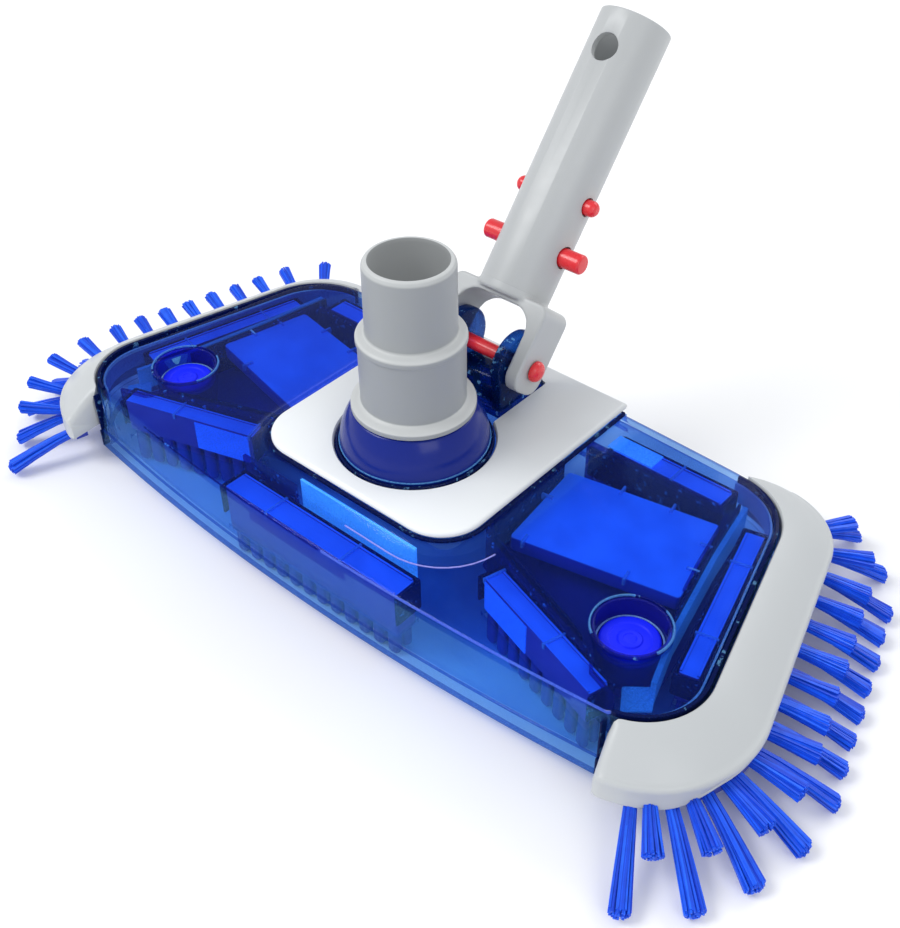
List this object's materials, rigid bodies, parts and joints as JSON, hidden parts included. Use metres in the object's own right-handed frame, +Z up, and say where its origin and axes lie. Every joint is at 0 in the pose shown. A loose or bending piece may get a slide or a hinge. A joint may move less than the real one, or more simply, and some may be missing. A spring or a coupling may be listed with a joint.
{
  "type": "manual vacuum head",
  "caption": "Transparent weighted pool vacuum head on brush strips, with end bristle rows, a swivelling hose connector and a tilting snap-in pole handle.",
  "frame": {"origin": "centre of the assembly's footprint on the floor the brush strips touch, with the handle as posed at rest", "axes": "+X to the right along the long front, -Y out of the curved front, +Y to the side the handle leans to, +Z up"},
  "size_m": [0.374, 0.2242, 0.1657],
  "materials": {
    "clear_blue": "clear, polished",
    "deep_blue": "tinted, polished",
    "white_plastic": "smooth semi-gloss",
    "grey_plastic": "smooth satin",
    "red_plastic": "smooth semi-gloss",
    "blue_strip": "satin",
    "weight_coat": "smooth coating over a metal plate",
    "blue_bristle": "nylon filament",
    "stainless": "plain",
    "seal_rubber": "matt"
  },
  "bodies": {
    "body": {"base_plate": "clear_blue", "body_cover": "clear_blue", "bracket_screw_left": "stainless", "bracket_screw_right": "stainless", "bristles_long_left": "blue_bristle", "bristles_long_right": "blue_bristle", "bristles_short_left": "blue_bristle", "bristles_short_right": "blue_bristle", "brush_diagonal_left": "blue_strip", "brush_diagonal_right": "blue_strip", "brush_front": "blue_strip", "brush_rear_left": "blue_strip", "brush_rear_right": "blue_strip", "brush_side_left": "blue_strip", "brush_side_right": "blue_strip", "centre_plate": "white_plastic", "cover_screw_left": "stainless", "cover_screw_right": "stainless", "handle_bracket": "deep_blue", "side_frame_left": "white_plastic", "side_frame_right": "white_plastic", "throat_seal": "seal_rubber", "throat_seat": "deep_blue", "weight_left": "weight_coat", "weight_right": "weight_coat"},
    "connector": {"hose_connector": "grey_plastic", "connector_retainer": "grey_plastic"},
    "handle": {"handle": "grey_plastic", "pivot_pin": "red_plastic", "pin_clip": "stainless", "clip_bend": "red_plastic"},
    "clip_leg_left": {"clip_leg_left": "red_plastic"},
    "clip_leg_right": {"clip_leg_right": "red_plastic"}
  },
  "joints": [
    {"name": "handle_tilt", "type": "hinge", "parent": "body", "child": "handle", "pos_m": [0, 0.0194, 0.0583], "axis": [-1, 0, 0], "range_deg": [-39, 50]},
    {"name": "hose_swivel", "type": "hinge", "parent": "body", "child": "connector", "pos_m": [0, -0.0218, 0.06], "axis": [0, 0, 1], "continuous": true},
    {"name": "clip_squeeze_right", "type": "hinge", "parent": "handle", "child": "clip_leg_right", "pos_m": [0.009, 0.04052, 0.08365], "axis": [0, -0.7683, 0.6401], "range_deg": [0, 6], "stiffness_Nm_per_rad": 1},
    {"name": "clip_squeeze_left", "type": "hinge", "parent": "handle", "child": "clip_leg_left", "pos_m": [-0.009, 0.04052, 0.08365], "axis": [0, 0.7683, -0.6401], "range_deg": [0, 6], "stiffness_Nm_per_rad": 1}
  ]
}
